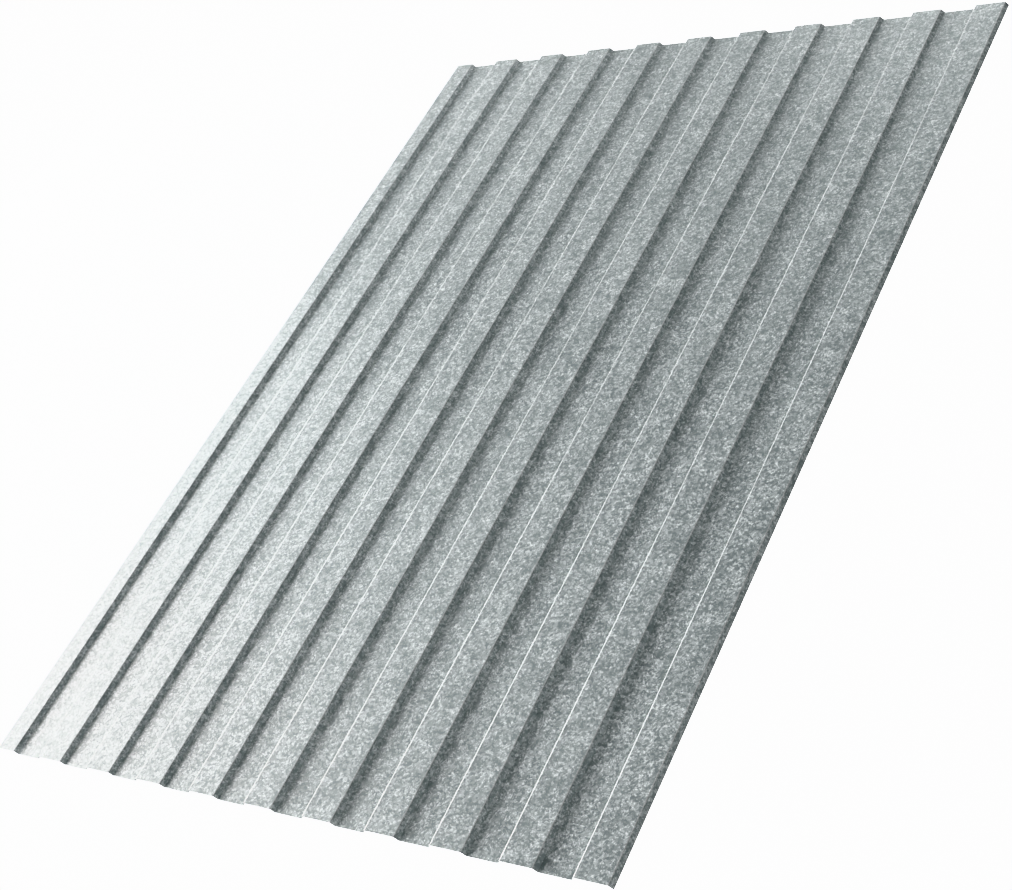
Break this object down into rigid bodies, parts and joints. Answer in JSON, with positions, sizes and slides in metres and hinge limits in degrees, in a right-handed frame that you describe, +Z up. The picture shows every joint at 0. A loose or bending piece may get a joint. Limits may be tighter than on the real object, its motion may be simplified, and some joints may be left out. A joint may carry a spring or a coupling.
{
  "type": "corrugated metal sheet",
  "caption": "Galvanised steel cladding sheet, roll formed into shallow flat-topped ribs that run its whole length, with a part crest along one side for the side lap.",
  "frame": {"origin": "centre of the sheet's footprint, on the plane that the undersides of the valleys rest on", "axes": "+X across the ribs, from the part crest that laps over to the full rib that is lapped; +Y along the ribs; +Z up, out of the weather side"},
  "size_m": [1.1942, 1.7, 0.008],
  "materials": {
    "galvanised_steel": "hot-dip zinc coating with small matt spangle, satin"
  },
  "bodies": {
    "root": {"corrugated_sheet": "galvanised_steel"}
  },
  "joints": []
}
